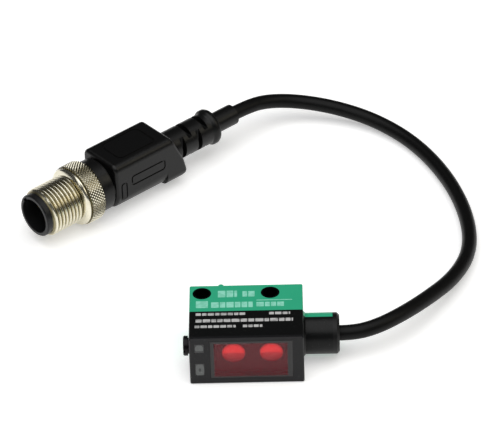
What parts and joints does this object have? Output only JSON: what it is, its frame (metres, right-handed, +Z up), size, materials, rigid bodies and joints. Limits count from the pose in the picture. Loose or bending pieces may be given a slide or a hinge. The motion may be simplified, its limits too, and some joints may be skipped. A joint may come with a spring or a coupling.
{
  "type": "photoelectric sensor",
  "caption": "Miniature rectangular photoelectric sensor with a lens window, cross mounting holes, a sensitivity adjuster and a short cable with a round threaded plug.",
  "frame": {"origin": "middle of the flat side that the housing lies on (25.4 x 19.4 mm)", "axes": "+Z up out of the label face, +X along the housing towards the cable entry, -Y out of the optical face"},
  "size_m": [0.1067, 0.1055, 0.0151],
  "materials": {
    "green_plastic": "fine moulded texture, satin",
    "black_plastic": "fine moulded texture, satin",
    "charcoal_plastic": "moulded, satin",
    "red_window": "polished red filter pane",
    "red_lens": "polished",
    "smoke_guide": "polished",
    "black_metal": "blackened",
    "board_laminate": "solder mask",
    "chip_black": "moulded",
    "lamp_clear": "clear resin",
    "ceramic_tan": "fired ceramic",
    "trimmer_blue": "moulded",
    "white_plastic": "moulded",
    "black_rubber": "moulded rubber",
    "clamp_brass": "plain",
    "cable_jacket": "extruded jacket, soft sheen",
    "core_brown": "insulation",
    "core_white": "insulation",
    "core_blue": "insulation",
    "core_black": "insulation",
    "core_grey": "insulation",
    "carrier_plastic": "moulded, satin",
    "contact_gold": "gold plated",
    "nut_nickel": "nickel plated, satin",
    "overmould_black": "moulded, fine texture"
  },
  "bodies": {
    "sensor": {"front_housing": "black_plastic", "rear_housing": "green_plastic", "front_cover": "charcoal_plastic", "front_window": "red_window", "lens_carrier": "black_plastic", "transmitter_lens": "red_lens", "receiver_lens": "red_lens", "upper_light_guide": "smoke_guide", "lower_light_guide": "smoke_guide", "circuit_board": "board_laminate", "emitter_led": "lamp_clear", "receiver_chip": "chip_black", "indicator_leds": "lamp_clear", "controller_chip": "chip_black", "output_transistors": "chip_black", "chip_capacitors": "ceramic_tan", "trimmer": "trimmer_blue", "shaft_seal": "black_rubber", "mounting_sleeves": "black_metal", "locating_pin": "green_plastic", "cable_grommet": "black_rubber", "cable_clamp": "clamp_brass", "cable_end_in_sensor": "cable_jacket", "brown_core": "core_brown", "white_core": "core_white", "blue_core": "core_blue", "black_core": "core_black", "contact_carrier": "carrier_plastic", "contact_pins": "contact_gold", "plug_cores": "core_grey", "plug_overmould": "overmould_black", "plug_inner_block": "white_plastic", "bend_relief_boot": "overmould_black", "cable_end_sleeve": "overmould_black", "cable_end_in_plug": "cable_jacket", "cable": "cable_jacket"},
    "adjuster": {"adjuster_knob": "black_plastic", "trimmer_rotor": "white_plastic"},
    "coupling_nut": {"coupling_nut": "nut_nickel"}
  },
  "joints": [
    {"name": "adjuster_turn", "type": "hinge", "parent": "sensor", "child": "adjuster", "pos_m": [-0.0127, -0.0038, 0.0063], "axis": [1, 0, 0], "range_deg": [-135, 135]},
    {"name": "nut_spin", "type": "hinge", "parent": "sensor", "child": "coupling_nut", "pos_m": [-0.04363, 0.05008, 0.0076], "axis": [0.7513, 0.66, 0], "continuous": true}
  ]
}
